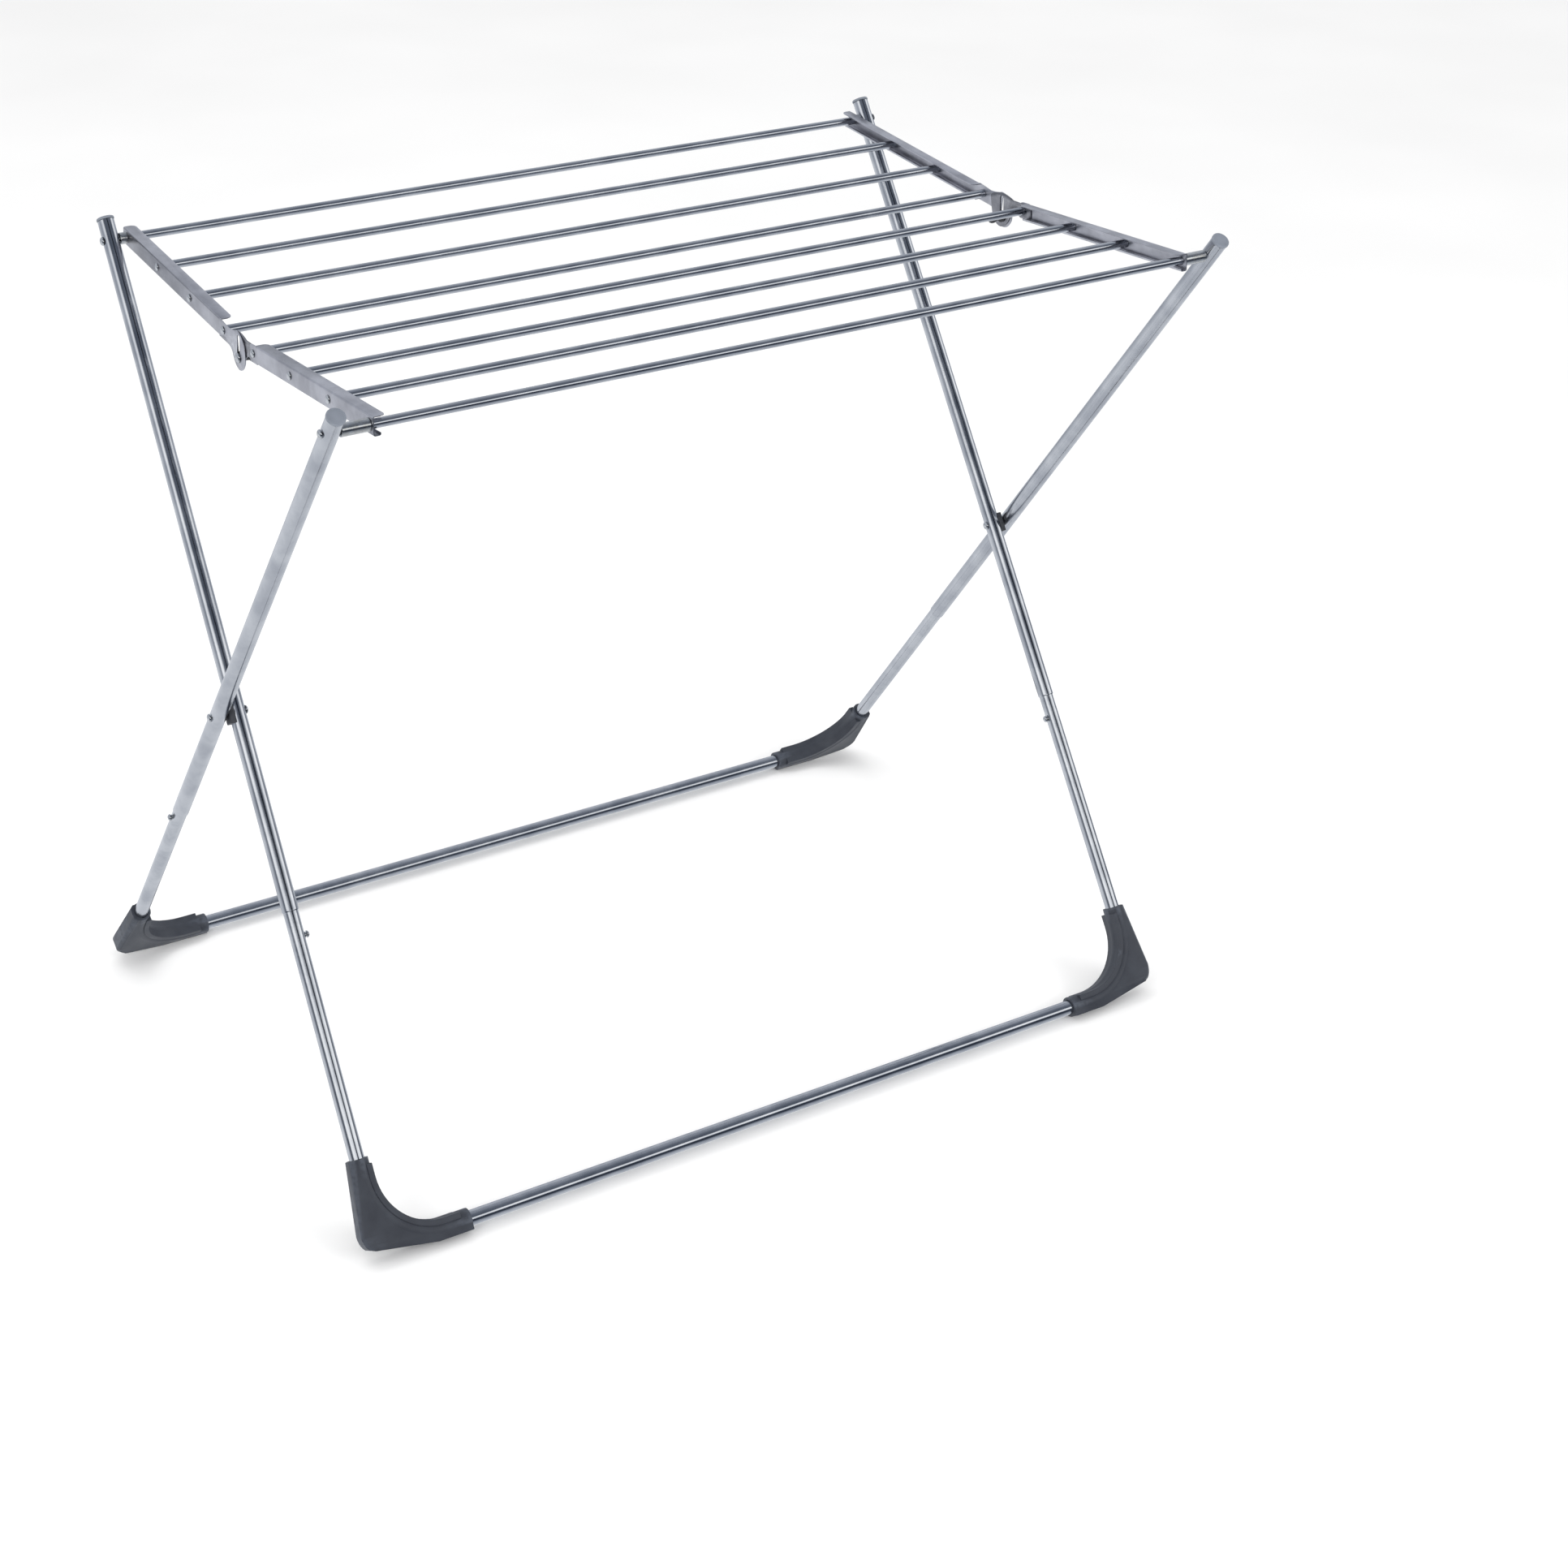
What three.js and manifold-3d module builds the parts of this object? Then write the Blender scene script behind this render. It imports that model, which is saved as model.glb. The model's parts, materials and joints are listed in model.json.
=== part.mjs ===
// Folding clothes drying rack: two crossed leg frames, and a rack top of eight rails on two pairs of
// channel arms that hinge in the middle. Millimetres, +Z up, +X along the rails, +Y to the back.
// The origin is on the floor, under the middle of the rack.
import * as THREE from 'three';
import { mergeVertices } from 'three/addons/utils/BufferGeometryUtils.js';
import Module from 'manifold-3d';

const wasm = await Module();
wasm.setup();

// Overall sizes
const railSpan = 1000; // outer face to outer face of the arm channels
const topSpread = 630; // between the two top pivots, front to back
const footSpread = 680; // between the two floor bars
const pivotHeight = 952;
const armSag = 24; // how far the middle hinge hangs below the top pivots

// Tubes
const legDia = 19;
const baseDia = 17;
const railDia = 10;
const bendRadius = 75; // centreline of the floor tube's corners
const ringDrop = 776; // top pivot to the lower end of the leg tube
const innerStudDrop = 28; // below that end, on the inner side of the floor tube
const outerStudDrop = 12; // the same on the outer frame, on the outer side
const tubeWall = 1.2; // left around the end cap's plug
const capRim = 3.2; // thickness of the cap's visible disc
const plugDepth = 10;
const socketDepth = 42; // how far the floor tube runs up inside the leg tube
const capRise = 27; // top pivot to the top of the end cap

// Arms
const sheet = 1;
const channelHeight = 20;
const topFlange = 14;
const lowFlange = 8;
const lipHeight = 3;
const railsPerArm = 4;
const middleRailGap = 39; // nearest rail to the hinge line
const armOverrun = 9; // channel past the end pivot
const flangeStop = 46; // channel flanges end this far from the hinge line

// Fastenings
const boltDia = 5;
const headDia = 10;
const headRise = 3;
const rivetDia = 4;
const sleeveDia = 13.6;
const legGap = 3.5; // clear space between an inner and an outer leg
const boltReach = 6; // rear pivot bolt past the arm, inside the rail's end
const saddleBack = 4; // back of the saddle, outside the inner leg's axis
const saddleWidth = 16;
const saddleHeight = 24;
const sleeveReach = 8.4; // inner frame's spacing sleeve
const pinDia = 6;
const spigotDia = 4;
const pinDrop = 15; // hinge pin below the hinge line at rest
const slotTravel = 22.5; // how far the pin runs in each slot
const slotWall = 3.8; // sheet left above the slot

// Feet
const footHalf = 12; // half thickness, and cover around the tube
const footHeight = 97;
const footLength = 105;
const footFlare = 9; // the outer edge runs this much wider at the bottom
const footFlat = 42; // length of the underside that rests on the floor
const footBevel = 3;
const footSole = 0.5; // plastic below the cover around the tube

// Clearances
const gap = 0.3; // between faces that meet
const slipFit = 0.4; // radius, tube in tube and tube in plastic
const holeFit = 0.3; // radius, bolt in hole
const railBore = 3.2; // end bore of a rail, radius

// What follows from them
const half = railSpan / 2;
const legR = legDia / 2;
const baseR = baseDia / 2;
const railR = railDia / 2;
const barHeight = footHalf + footSole;
const innerX = half + gap + sleeveReach + gap + legR;
const frameStep = legDia + legGap;
const outerX = innerX + frameStep;
const pivotY = topSpread / 2;
const barY = footSpread / 2;
const lean = Math.atan2(pivotY + barY, pivotHeight - barHeight);
const legLength = Math.hypot(pivotY + barY, pivotHeight - barHeight);
const crossAt = legLength * barY / (pivotY + barY);
const ringAt = legLength - ringDrop;
const sag = Math.atan2(armSag, pivotY);
const armLength = Math.hypot(armSag, pivotY);
const railPitch = (armLength - middleRailGap) / (railsPerArm - 1);
const pinU = armLength + pinDrop * Math.sin(sag);
const pinW = -pinDrop * Math.cos(sag);
const webHalf = channelHeight / 2;
const lobeTop = pinW + slotTravel + pinDia / 2 + slotWall;
const flangeEnd = armLength - flangeStop;

// Finishes
const steel = { color: '#c9ccd0', roughness: 0.16, metalness: 1 };
const satin = { color: '#b4b4ba', roughness: 0.36, metalness: 1 };
const plated = { color: '#d6d8da', roughness: 0.2, metalness: 1 };
const footPlastic = { color: '#4c5059', roughness: 0.5, metalness: 0 };
const capPlastic = { color: '#868b96', roughness: 0.5, metalness: 0 };
const darkPlastic = { color: '#2e3035', roughness: 0.55, metalness: 0 };

const rack = new THREE.Group();
rack.name = 'clothes_drying_rack';

// Closed solid from any closed three.js surface, turned the right way out.
function solid(geometry) {
  const bare = geometry.clone();
  bare.deleteAttribute('normal');
  bare.deleteAttribute('uv');
  const merged = mergeVertices(bare, 1e-4);
  const points = merged.attributes.position.array;
  const tris = [];
  let volume = 0;
  for (let i = 0; i < merged.index.count; i += 3) {
    const [a, b, c] = [0, 1, 2].map((k) => merged.index.getX(i + k));
    if (a === b || b === c || c === a) continue;
    const [p, q, r] = [a, b, c].map((k) => new THREE.Vector3().fromArray(points, 3 * k));
    volume += p.dot(q.cross(r));
    tris.push(a, b, c);
  }
  if (volume < 0) tris.reverse();
  return new wasm.Manifold(new wasm.Mesh({
    numProp: 3,
    vertProperties: new Float32Array(points),
    triVerts: new Uint32Array(tris),
  }));
}

function surface(body) {
  const mesh = body.getMesh();
  const geometry = new THREE.BufferGeometry();
  geometry.setAttribute('position', new THREE.BufferAttribute(new Float32Array(mesh.vertProperties), 3));
  geometry.setIndex(new THREE.BufferAttribute(new Uint32Array(mesh.triVerts), 1));
  return geometry;
}

function mirrored(body) {
  return body.scale([-1, 1, 1]);
}

// Every piece away from the middle is made for the +X side and mirrored for the other.
const sides = [['right', (body) => body, 1], ['left', mirrored, -1]];

function union(bodies) {
  return bodies.reduce((all, body) => all.add(body));
}

function cut(body, tools) {
  return tools.reduce((all, tool) => all.subtract(tool), body);
}

// Mesh of one piece, in its assembly's own axes, at a place along them.
function addPart(assembly, name, body, finish, at = [0, 0, 0]) {
  const geometry = surface(body);
  geometry.computeVertexNormals();
  const mesh = new THREE.Mesh(geometry, new THREE.MeshStandardMaterial(finish));
  mesh.name = name;
  mesh.position.set(...at);
  assembly.add(mesh);
}

// Legs run along local +Z from the floor bar, and arms along local Y from their pivot.
function addAssembly(y, z, turn) {
  const assembly = new THREE.Group();
  assembly.position.set(0, y, z);
  assembly.rotation.x = turn;
  assembly.updateMatrix();
  rack.add(assembly);
  return assembly;
}

// Round piece on an axis along +X: pairs of [x, radius], from one end to the other.
function turned(profile, sides) {
  const points = [[profile[0][0], 0], ...profile, [profile[profile.length - 1][0], 0]];
  const lathe = new THREE.LatheGeometry(points.map(([x, r]) => new THREE.Vector2(r, x)), sides);
  lathe.rotateZ(-Math.PI / 2);
  return solid(lathe);
}

// Domed head as a profile, its flat side at x0 and its crown at x0 + rise.
function dome(x0, radius, rise) {
  return [
    [x0, radius],
    [x0 + rise * 0.45, radius * 0.88],
    [x0 + rise * 0.85, radius * 0.52],
    [x0 + rise, radius * 0.2],
  ];
}

// Flat sheet or block: an outline in the Y-Z plane, from x0 to x1.
function slab(shape, x0, x1, curveSegments = 8) {
  const geometry = new THREE.ExtrudeGeometry(shape, { depth: x1 - x0, bevelEnabled: false, curveSegments });
  geometry.applyMatrix4(new THREE.Matrix4().makeBasis(
    new THREE.Vector3(0, 1, 0),
    new THREE.Vector3(0, 0, 1),
    new THREE.Vector3(1, 0, 0),
  ));
  geometry.translate(x0, 0, 0);
  return solid(geometry);
}

function block(x0, x1, y0, y1, z0, z1) {
  const box = new THREE.BoxGeometry(x1 - x0, y1 - y0, z1 - z0);
  box.translate((x0 + x1) / 2, (y0 + y1) / 2, (z0 + z1) / 2);
  return solid(box);
}

function shifted(body, x, y, z) {
  return body.translate([x, y, z]);
}

// ---------- leg frames ----------

// Centreline of the floor tube, with points only at the straight ends and in the two bends.
class BentPath extends THREE.Curve {
  constructor(halfWidth, top, bendSteps) {
    super();
    this.points = [];
    this.tangents = [];
    this.addStation(-halfWidth, top, 0, -1);
    for (const side of [-1, 1]) {
      for (let i = 0; i <= bendSteps; i += 1) {
        const turn = (side < 0 ? i : bendSteps - i) / bendSteps * Math.PI / 2;
        const x = side * (halfWidth - bendRadius * (1 - Math.cos(turn)));
        const z = bendRadius * (1 - Math.sin(turn));
        this.addStation(x, z, Math.sin(turn), side * Math.cos(turn));
      }
    }
    this.addStation(halfWidth, top, 0, 1);
  }

  addStation(x, z, dx, dz) {
    this.points.push(new THREE.Vector3(x, 0, z));
    this.tangents.push(new THREE.Vector3(dx, 0, dz));
  }

  getPoint(t) {
    return this.points[Math.round(t * (this.points.length - 1))].clone();
  }

  getPointAt(u) {
    return this.getPoint(u);
  }

  getTangentAt(u) {
    return this.tangents[Math.round(u * (this.points.length - 1))].clone();
  }
}

function circle(radius, sides) {
  const points = [];
  for (let i = 0; i < sides; i += 1) {
    const turn = (i + 0.5) / sides * 2 * Math.PI;
    points.push(new THREE.Vector2(radius * Math.cos(turn), radius * Math.sin(turn)));
  }
  return new THREE.Shape(points);
}

function bentTube(halfWidth, top, radius, sides, bendSteps) {
  const path = new BentPath(halfWidth, top, bendSteps);
  return solid(new THREE.ExtrudeGeometry(circle(radius, sides), {
    steps: path.points.length - 1,
    bevelEnabled: false,
    extrudePath: path,
  }));
}

function upright(x, radius, z0, z1, sides) {
  const tube = new THREE.CylinderGeometry(radius, radius, z1 - z0, sides);
  tube.rotateX(Math.PI / 2);
  tube.translate(x, 0, (z0 + z1) / 2);
  return solid(tube);
}

function crossHole(x0, x1, z, radius) {
  return shifted(turned([[x0, radius], [x1, radius]], 12), 0, 0, z);
}

// Outline of a corner foot: the leg axis at 0, the floor bar's axis at 0, +X towards the middle.
function footOutline() {
  const inner = bendRadius - footHalf;
  const outline = new THREE.Shape();
  outline.moveTo(footHalf, footHeight);
  outline.lineTo(-footHalf, footHeight);
  outline.lineTo(-footHalf - footFlare, footHalf * 1.6);
  outline.quadraticCurveTo(-footHalf - footFlare, footHalf * 0.5, -footHalf, footHalf * 0.1);
  outline.lineTo(footLength - footFlat, -footHalf);
  outline.lineTo(footLength, -footHalf);
  outline.lineTo(footLength, footHalf);
  outline.lineTo(bendRadius, footHalf);
  outline.absarc(bendRadius, bendRadius, inner, -Math.PI / 2, -Math.PI, true);
  outline.closePath();
  return outline;
}

function foot(x, tubeSpace, legSpace, floor) {
  const body = new THREE.ExtrudeGeometry(footOutline(), {
    depth: 2 * (footHalf - footBevel),
    bevelThickness: footBevel,
    bevelSize: footBevel,
    bevelOffset: -footBevel,
    bevelSegments: 1,
    curveSegments: 8,
  });
  body.translate(0, 0, footBevel - footHalf);
  body.rotateX(Math.PI / 2);
  body.scale(-1, 1, 1);
  body.translate(x, 0, 0);
  return cut(solid(body), [tubeSpace, legSpace, floor]);
}

function addLegFrame(assembly, label, legX, studSide, studDrop) {
  const tubeTop = ringAt + socketDepth - slipFit;
  const studAt = ringAt - studDrop;
  const studFace = legX + studSide * baseR;
  const studBore = crossHole(studFace - 3.2, studFace + 3.2, studAt, rivetDia / 2 + holeFit);
  const base = cut(bentTube(legX, tubeTop, baseR, 16, 8), [studBore, mirrored(studBore)]);
  addPart(assembly, `${label}_base`, base, steel);

  const tubeSpace = bentTube(legX, tubeTop, baseR + slipFit, 16, 8);
  const legEnd = legLength + capRise - capRim - gap;
  const leg = cut(upright(legX, legR, ringAt, legEnd, 16), [
    upright(legX, baseR + slipFit, ringAt - 1, ringAt + socketDepth, 16),
    upright(legX, legR - tubeWall, legEnd - plugDepth - 1, legEnd + 1, 16),
    crossHole(legX - legDia, legX + legDia, legLength, boltDia / 2 + holeFit),
    crossHole(legX - legDia, legX + legDia, crossAt, boltDia / 2 + holeFit),
  ]);
  const cap = union([
    upright(legX, legR + 0.6, legEnd + gap, legLength + capRise, 16),
    upright(legX, legR - tubeWall - gap, legEnd - plugDepth, legEnd + 1, 16),
  ]);
  const underFloor = block(legX - 150, legX + 60, -barY * 2, barY * 2, -60, 0);
  const floor = underFloor.transform(assembly.matrix.clone().invert().toArray());
  const footBody = foot(legX, tubeSpace, upright(legX, baseR + slipFit, ringAt / 5, ringAt, 16), floor);
  const shank = rivetDia / 2;
  const stud = turned([
    [-2.6, shank],
    [gap, shank],
    [gap, shank + 0.8],
    [gap + 1, shank + 0.8],
    ...dome(gap + 1, 3.8, 2.6),
  ], 12);
  for (const [tag, flip, side] of sides) {
    addPart(assembly, `${label}_leg_${tag}`, flip(leg), steel);
    addPart(assembly, `${label}_cap_${tag}`, flip(cap), capPlastic);
    addPart(assembly, `${label}_foot_${tag}`, flip(footBody), footPlastic);
    const outward = side * studSide > 0 ? stud : mirrored(stud);
    addPart(assembly, `${label}_stud_${tag}`, outward, plated, [side * studFace, 0, studAt]);
  }
}

const innerFrame = addAssembly(-barY, barHeight, -lean);
const outerFrame = addAssembly(barY, barHeight, lean);
addLegFrame(innerFrame, 'inner', innerX, -1, innerStudDrop);
addLegFrame(outerFrame, 'outer', outerX, 1, outerStudDrop);

// ---------- crossing of the legs ----------

const crossHeight = barHeight + crossAt * Math.cos(lean);

// Rivet through both legs, with a domed head at each end.
const crossRivet = turned([
  ...dome(0, headDia / 2, headRise).map(([x, r]) => [innerX - legR - gap - x, r]).reverse(),
  [innerX - legR - gap, boltDia / 2],
  [outerX + legR + gap, boltDia / 2],
  ...dome(outerX + legR + gap, headDia / 2, headRise),
], 12);

// Saddle that cups the inner leg and gives the outer leg a flat face to turn against.
const saddleFace = outerX - legR - gap;
const saddleRise = saddleHeight / 2;
const saddleBlock = block(innerX + saddleBack, saddleFace, -saddleWidth / 2, saddleWidth / 2,
  crossAt - saddleRise, crossAt + saddleRise);
const saddle = cut(saddleBlock, [
  upright(innerX, legR + gap, crossAt - saddleHeight, crossAt + saddleHeight, 16),
  crossHole(innerX, outerX, crossAt, boltDia / 2 + holeFit),
]);

for (const [tag, flip] of sides) {
  addPart(rack, `cross_rivet_${tag}`, flip(crossRivet), plated, [0, 0, crossHeight]);
  addPart(innerFrame, `cross_saddle_${tag}`, flip(saddle), darkPlastic);
}

// ---------- top pivots ----------

// Bolt and spacing sleeve of one pivot, from the leg's outer side in to `inner`.
function addTopPivot(label, legX, y, inner) {
  const outerFace = legX + legR + gap;
  const bolt = turned([
    [inner, boltDia / 2],
    [outerFace, boltDia / 2],
    ...dome(outerFace, headDia / 2, headRise),
  ], 12);
  const sleeve = turned([[half + gap, sleeveDia / 2], [legX - legR - gap, sleeveDia / 2]], 16);
  const bored = cut(sleeve, [turned([[half - 5, boltDia / 2 + holeFit], [legX, boltDia / 2 + holeFit]], 12)]);
  for (const [tag, flip] of sides) {
    addPart(rack, `${label}_pivot_bolt_${tag}`, flip(bolt), plated, [0, y, pivotHeight]);
    addPart(rack, `${label}_pivot_sleeve_${tag}`, flip(bored), plated, [0, y, pivotHeight]);
  }
}

addTopPivot('rear', innerX, pivotY, half - sheet - gap - boltReach);
addTopPivot('front', outerX, -pivotY, half + gap);

// ---------- arms ----------

// Outlines run along +U from the end pivot and up +W; `way` turns U into the arm's own +Y or -Y.
function outlineOf(way, draw) {
  const shape = new THREE.Shape();
  draw(shape, way);
  return shape;
}

function circlePath(u, w, radius) {
  const path = new THREE.Path();
  path.absarc(u, w, radius, 0, 2 * Math.PI, false);
  return path;
}

function slotPath(u, low, high, radius) {
  const path = new THREE.Path();
  path.absarc(u, high, radius, 0, Math.PI, false);
  path.absarc(u, low, radius, Math.PI, 2 * Math.PI, false);
  path.closePath();
  return path;
}

// The teardrop that hangs at the hinge: from its upper edge round the tip, back to the arm's lower edge.
function drawLobe(shape, way) {
  const u = pinU * way;
  shape.quadraticCurveTo(u + way * 4, lobeTop + 0.8, u + way * 12, lobeTop - 7);
  shape.quadraticCurveTo(u + way * 19, lobeTop - 16, u + way * 17.5, pinW);
  shape.quadraticCurveTo(u + way * 13, pinW - 12.5, u + way * 2, pinW - 13);
  shape.quadraticCurveTo(u - way * 9, pinW - 12, u - way * 15, pinW);
}

function pinSlot(way) {
  return slotPath(pinU * way, pinW, pinW + slotTravel, pinDia / 2 + holeFit);
}

function drawRearWeb(shape, way) {
  shape.moveTo(-armOverrun * way, -webHalf);
  shape.lineTo(-armOverrun * way, webHalf - 5);
  shape.lineTo((5 - armOverrun) * way, webHalf);
  shape.lineTo(flangeEnd * way, webHalf);
  shape.lineTo((pinU - 27) * way, webHalf - 1.5);
  shape.quadraticCurveTo((pinU - 15) * way, webHalf, (pinU - 7) * way, lobeTop - 0.6);
  drawLobe(shape, way);
  shape.quadraticCurveTo((pinU - 19) * way, -webHalf, (pinU - 27) * way, -webHalf);
  shape.closePath();
}

function drawFrontWeb(shape, way) {
  const end = armLength - middleRailGap + 8;
  shape.moveTo(-armOverrun * way, -webHalf);
  shape.lineTo(-armOverrun * way, webHalf - 5);
  shape.lineTo((5 - armOverrun) * way, webHalf);
  shape.lineTo((end - 8) * way, webHalf);
  shape.quadraticCurveTo(end * way, webHalf, end * way, webHalf - 8);
  shape.lineTo(end * way, -webHalf);
  shape.closePath();
}

function drawPlate(shape, way) {
  shape.moveTo((flangeEnd - 8) * way, -webHalf + 2);
  shape.lineTo((flangeEnd - 8) * way, webHalf - 2);
  shape.lineTo((pinU - 22) * way, webHalf - 1);
  shape.lineTo((pinU - 6) * way, lobeTop);
  shape.lineTo((pinU + 6) * way, lobeTop);
  shape.lineTo((pinU + 19) * way, webHalf);
  shape.lineTo((pinU + 21) * way, webHalf - 4);
  shape.quadraticCurveTo((pinU + 20) * way, pinW + 10, (pinU + 17.5) * way, pinW);
  shape.quadraticCurveTo((pinU + 13) * way, pinW - 12.5, (pinU + 2) * way, pinW - 13);
  shape.quadraticCurveTo((pinU - 9) * way, pinW - 12, (pinU - 15) * way, pinW);
  shape.quadraticCurveTo((pinU - 19) * way, -webHalf + 2, (pinU - 26) * way, -webHalf + 2);
  shape.closePath();
}

// Folded channel on the +X side: web outside, flanges turned in, the lower one with a small lip.
function channel(way, drawWeb, holes, boltU) {
  const web = outlineOf(way, drawWeb);
  for (const u of holes) web.holes.push(circlePath(u * way, 0, rivetDia / 2 + holeFit));
  web.holes.push(circlePath(boltU * way, 0, boltDia / 2 + holeFit));
  if (drawWeb === drawRearWeb) web.holes.push(pinSlot(way));
  const [u0, u1] = [-armOverrun * way, flangeEnd * way].sort((a, b) => a - b);
  const start = way > 0 ? u0 + 5 : u0;
  const end = way > 0 ? u1 : u1 - 5;
  return union([
    slab(web, half - sheet, half, 6),
    block(half - topFlange, half, start, end, webHalf - sheet, webHalf),
    block(half - lowFlange, half, u0, u1, -webHalf, -webHalf + sheet),
    block(half - lowFlange, half - lowFlange + sheet, u0, u1, -webHalf, -webHalf + lipHeight),
  ]);
}

function rail() {
  const end = half - sheet - gap;
  const bore = turned([[end - 12, railBore], [end + 1, railBore]], 12);
  return cut(turned([[-end, railR], [end, railR]], 14), [bore, mirrored(bore)]);
}

function railRivet() {
  return turned([
    [half - sheet - gap - 4, rivetDia / 2],
    [half + gap, rivetDia / 2],
    ...dome(half + gap, headDia * 0.45, 2),
  ], 12);
}

function addArmPair(assembly, label, way, drawWeb, railNumbers) {
  const stations = railNumbers.map((number, i) => [number, railPitch * i]);
  const arm = channel(way, drawWeb, stations.slice(1).map(([, u]) => u), 0);
  for (const [tag, flip] of sides) addPart(assembly, `${label}_arm_${tag}`, flip(arm), satin);
  for (const [number, u] of stations) {
    const at = [0, u * way, 0];
    addPart(assembly, `rail_${number}`, rail(), steel, at);
    if (u === 0) continue;
    for (const [tag, flip] of sides) {
      addPart(assembly, `rail_rivet_${number}_${tag}`, flip(railRivet()), plated, at);
    }
  }
}

const rearArms = addAssembly(pivotY, pivotHeight, sag);
const frontArms = addAssembly(-pivotY, pivotHeight, -sag);
addArmPair(rearArms, 'rear', -1, drawRearWeb, [1, 2, 3, 4]);
addArmPair(frontArms, 'front', 1, drawFrontWeb, [8, 7, 6, 5]);

// ---------- middle hinge ----------

// Plate inside each front arm, with the second slot; a hole clears the nearest rail's end.
const plateOut = half - sheet - gap;
const plateShape = outlineOf(1, drawPlate);
plateShape.holes.push(circlePath(armLength - middleRailGap, 0, railR + gap));
plateShape.holes.push(pinSlot(1));
const plate = slab(plateShape, plateOut - sheet, plateOut, 6);

// Pin: domed head outside the rear arm, shank in its slot, thinner spigot inside the knob.
const knobFace = plateOut - 0.05;
const pin = turned([
  [half - 16, spigotDia / 2],
  [knobFace + gap, spigotDia / 2],
  [knobFace + gap, pinDia / 2],
  [half + gap, pinDia / 2],
  ...dome(half + gap, headDia * 0.55, headRise),
], 14);

// Knob: neck in the plate's slot, then a flange, a waist and a rounded end to pull on.
const knobIn = plateOut - sheet - gap;
const knob = cut(turned([
  [knobIn - 18, 3.6],
  [knobIn - 16.5, 5.8],
  [knobIn - 12, 6.4],
  [knobIn - 9, 4.2],
  [knobIn - 3, 4.2],
  [knobIn - 2, 7],
  [knobIn, 7],
  [knobIn, pinDia / 2],
  [knobFace, pinDia / 2],
], 14), [turned([[half - 16.5, spigotDia / 2 + holeFit], [half, spigotDia / 2 + holeFit]], 12)]);

const hingeHeight = pivotHeight - armSag - pinDrop;
for (const [tag, flip] of sides) {
  addPart(frontArms, `hinge_plate_${tag}`, flip(plate), satin);
  addPart(rack, `hinge_pin_${tag}`, flip(pin), plated, [0, 0, hingeHeight]);
  addPart(rack, `hinge_knob_${tag}`, flip(knob), darkPlastic, [0, 0, hingeHeight]);
}

export default rack;
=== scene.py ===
import bpy
import bmesh
import json
from math import atan2, cos, pi, radians, sin
from mathutils import Matrix, Vector


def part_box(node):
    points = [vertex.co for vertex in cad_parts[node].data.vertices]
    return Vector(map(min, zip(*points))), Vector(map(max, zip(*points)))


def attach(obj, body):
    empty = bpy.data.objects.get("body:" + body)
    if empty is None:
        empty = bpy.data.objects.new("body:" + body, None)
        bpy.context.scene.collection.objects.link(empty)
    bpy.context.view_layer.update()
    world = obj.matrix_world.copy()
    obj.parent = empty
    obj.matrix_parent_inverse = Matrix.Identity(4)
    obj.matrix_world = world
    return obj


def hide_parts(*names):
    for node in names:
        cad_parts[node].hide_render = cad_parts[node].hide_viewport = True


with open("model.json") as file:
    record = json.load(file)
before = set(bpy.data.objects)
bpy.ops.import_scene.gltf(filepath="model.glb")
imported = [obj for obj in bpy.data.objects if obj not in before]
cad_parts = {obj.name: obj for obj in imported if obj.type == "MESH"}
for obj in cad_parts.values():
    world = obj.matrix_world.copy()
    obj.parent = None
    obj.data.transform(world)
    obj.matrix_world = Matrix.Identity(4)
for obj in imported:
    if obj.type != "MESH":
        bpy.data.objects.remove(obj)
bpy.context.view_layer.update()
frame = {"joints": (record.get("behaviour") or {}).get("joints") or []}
mm = 0.001
print("frame loaded")


def centreOf(node):
    low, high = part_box(node)
    return (low + high) / 2


# sizes that several pieces share, in mm
tube = {"legRadius": 9.5, "floorRadius": 8.5, "railRadius": 5, "bend": 75, "wall": 0.7, "gap": 0.3,
        "sides": 56}  # sides is a count

# the rack's main points in metres, from the frame
jointPlace = {joint["name"]: Vector(joint["pos_m"]) for joint in frame["joints"] if "pos_m" in joint}
rearPivot = jointPlace["rear_arm_fold"]
crossing = jointPlace["leg_fold"]
hingePoint = jointPlace["middle_hinge"]
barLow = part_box("inner_base")[0]
bar = Vector((0, barLow.y + tube["floorRadius"] * mm, barLow.z + tube["floorRadius"] * mm))
rails = [centreOf("rail_%d" % n) for n in range(1, 9)]

# angles of the legs and of the rack's top
lean = atan2(rearPivot.y - bar.y, rearPivot.z - bar.z)
sag = atan2(rails[0].z - rails[3].z, rails[0].y - rails[3].y)

# lengths in mm, along a leg from the floor tube or across the rack from its middle
crossAt = (crossing - bar).length / mm
innerX = centreOf("inner_leg_right").x / mm
outerX = centreOf("outer_leg_right").x / mm
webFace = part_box("rear_arm_right")[1].x / mm  # outer face of the arms
ringAt = ((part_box("inner_leg_right")[0].z - bar.z) / mm + tube["legRadius"] * sin(lean)) / cos(lean)
legTop = ((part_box("inner_cap_right")[1].z - bar.z) / mm - (tube["legRadius"] + 0.6) * sin(lean)) / cos(lean)

innerPlace = Matrix.Translation(bar) @ Matrix.Rotation(-lean, 4, "X")
outerPlace = Matrix.Translation((0, -bar.y, bar.z)) @ Matrix.Rotation(lean, 4, "X")
rearPlace = Matrix.Translation(rearPivot) @ Matrix.Rotation(sag, 4, "X")
frontPlace = Matrix.Translation((0, -rearPivot.y, rearPivot.z)) @ Matrix.Rotation(-sag, 4, "X")
asBuilt = Matrix.Identity(4)
alongX = Matrix.Rotation(pi / 2, 4, "Y")  # a piece turned on local Z lies along +X
mirrorX = Matrix.Diagonal((-1, 1, 1, 1))
sides = {"right": 1, "left": -1}
flips = {1: asBuilt, -1: mirrorX}


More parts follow.
